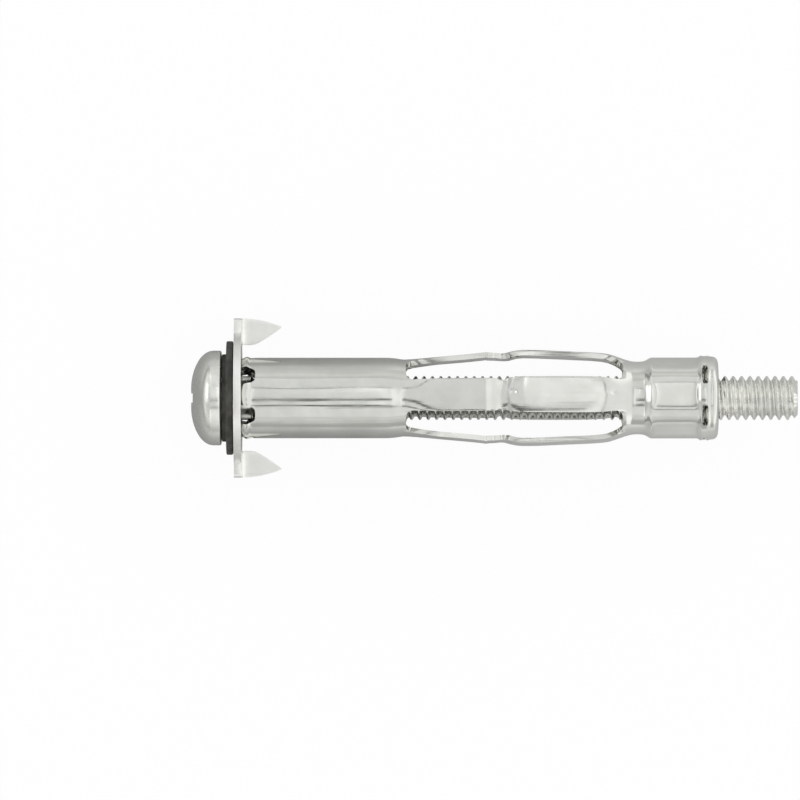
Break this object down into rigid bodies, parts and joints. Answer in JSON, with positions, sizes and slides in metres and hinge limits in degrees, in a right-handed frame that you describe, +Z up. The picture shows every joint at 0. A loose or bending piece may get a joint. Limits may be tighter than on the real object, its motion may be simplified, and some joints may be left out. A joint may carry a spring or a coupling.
{
  "type": "hollow-wall drywall anchor",
  "caption": "Metal hollow-wall drywall anchor: slotted sleeve with bowed legs crimped round a nut, pronged collar, fibre washer and a pan-head machine screw.",
  "frame": {"origin": "centre of the lying anchor's footprint, on the surface it lies on", "axes": "+X along the anchor's axis from the screw head to the screw tip, +Y across it through the two prongs, +Z up"},
  "size_m": [0.0575, 0.0152, 0.0128],
  "materials": {
    "zinc_plated_steel": "bright zinc plating",
    "dark_fibre": "matt dark grey"
  },
  "bodies": {
    "sleeve_body": {"sleeve": "zinc_plated_steel", "collar_plate": "zinc_plated_steel", "nut": "zinc_plated_steel"},
    "washer_body": {"washer": "dark_fibre"},
    "screw_body": {"screw": "zinc_plated_steel"}
  },
  "joints": [
    {"name": "screw_travel", "type": "slide", "parent": "sleeve_body", "child": "washer_body", "axis": [-1, 0, 0], "range_m": [0, 0.0127]},
    {"name": "screw_turn", "type": "hinge", "parent": "washer_body", "child": "screw_body", "pos_m": [0, 0, 0.0064], "axis": [-1, 0, 0], "range_deg": [0, 5760]}
  ],
  "couplings": [
    {"joint": "screw_turn", "follows": "screw_travel", "rad_per_m": 7915.8}
  ]
}
